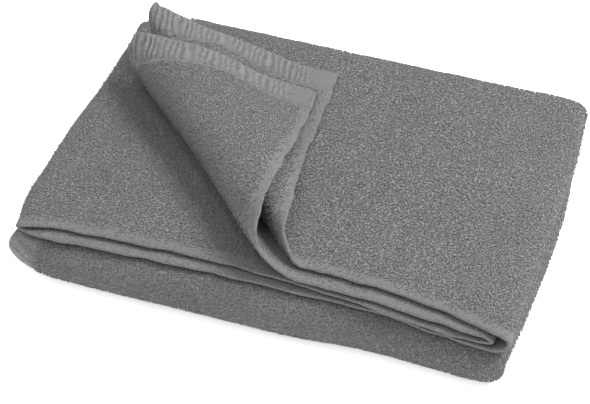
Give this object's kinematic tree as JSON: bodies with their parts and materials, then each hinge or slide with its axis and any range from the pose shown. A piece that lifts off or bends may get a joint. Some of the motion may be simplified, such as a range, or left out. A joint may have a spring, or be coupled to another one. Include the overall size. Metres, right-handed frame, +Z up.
{
  "type": "folded hand towel",
  "caption": "Terry hand towel folded in four and then in three, lying flat with its front left corner turned back over the stack.",
  "frame": {"origin": "on the floor, under the middle of the folded towel's bounding box", "axes": "+X along the long side of the stack, away from the two hems; +Y from the front selvages towards the back fold; +Z up"},
  "size_m": [0.2587, 0.187, 0.0683],
  "materials": {
    "terry": "matt cotton terry pile"
  },
  "bodies": {
    "root": {"towel": "terry"}
  },
  "joints": []
}
